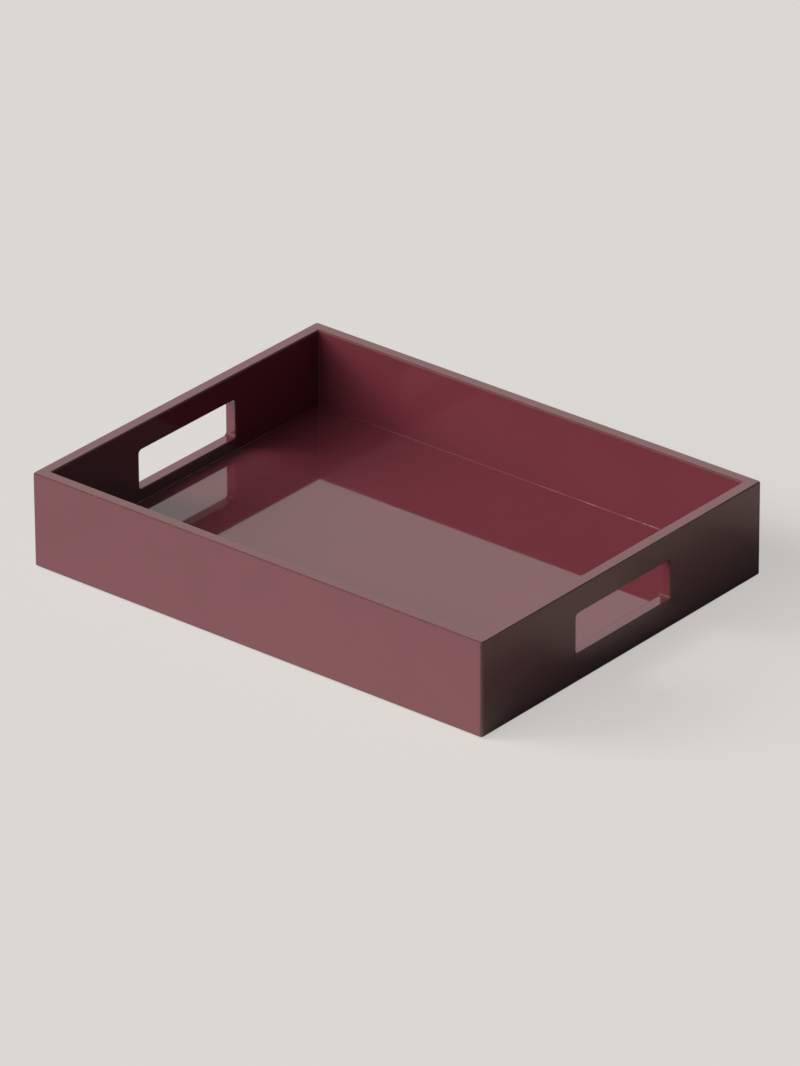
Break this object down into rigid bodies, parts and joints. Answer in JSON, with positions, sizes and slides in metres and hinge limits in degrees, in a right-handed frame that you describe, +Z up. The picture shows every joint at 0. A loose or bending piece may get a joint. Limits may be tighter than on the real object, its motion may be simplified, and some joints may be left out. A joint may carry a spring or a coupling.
{
  "type": "lacquer tray",
  "caption": "Low rectangular serving tray in glossy lacquered board, with straight walls, a let-in base and a rounded hand hole in each end.",
  "frame": {"origin": "on the surface that the feet stand on, under the middle of the tray", "axes": "+X along the length towards the right end wall, +Y from the front long wall to the back one, +Z up"},
  "size_m": [0.4, 0.307, 0.0735],
  "materials": {
    "lacquered_board": "high-gloss burgundy lacquer on fine fibreboard",
    "bare_wood": "unfinished, glued in",
    "foot_rubber": "matt moulded rubber"
  },
  "bodies": {
    "root": {"front_wall": "lacquered_board", "back_wall": "lacquered_board", "left_end_wall": "lacquered_board", "right_end_wall": "lacquered_board", "base_board": "lacquered_board", "corner_spline_front_left": "bare_wood", "corner_spline_front_right": "bare_wood", "corner_spline_back_right": "bare_wood", "corner_spline_back_left": "bare_wood", "foot_front_left": "foot_rubber", "foot_front_right": "foot_rubber", "foot_back_right": "foot_rubber", "foot_back_left": "foot_rubber"}
  },
  "joints": []
}
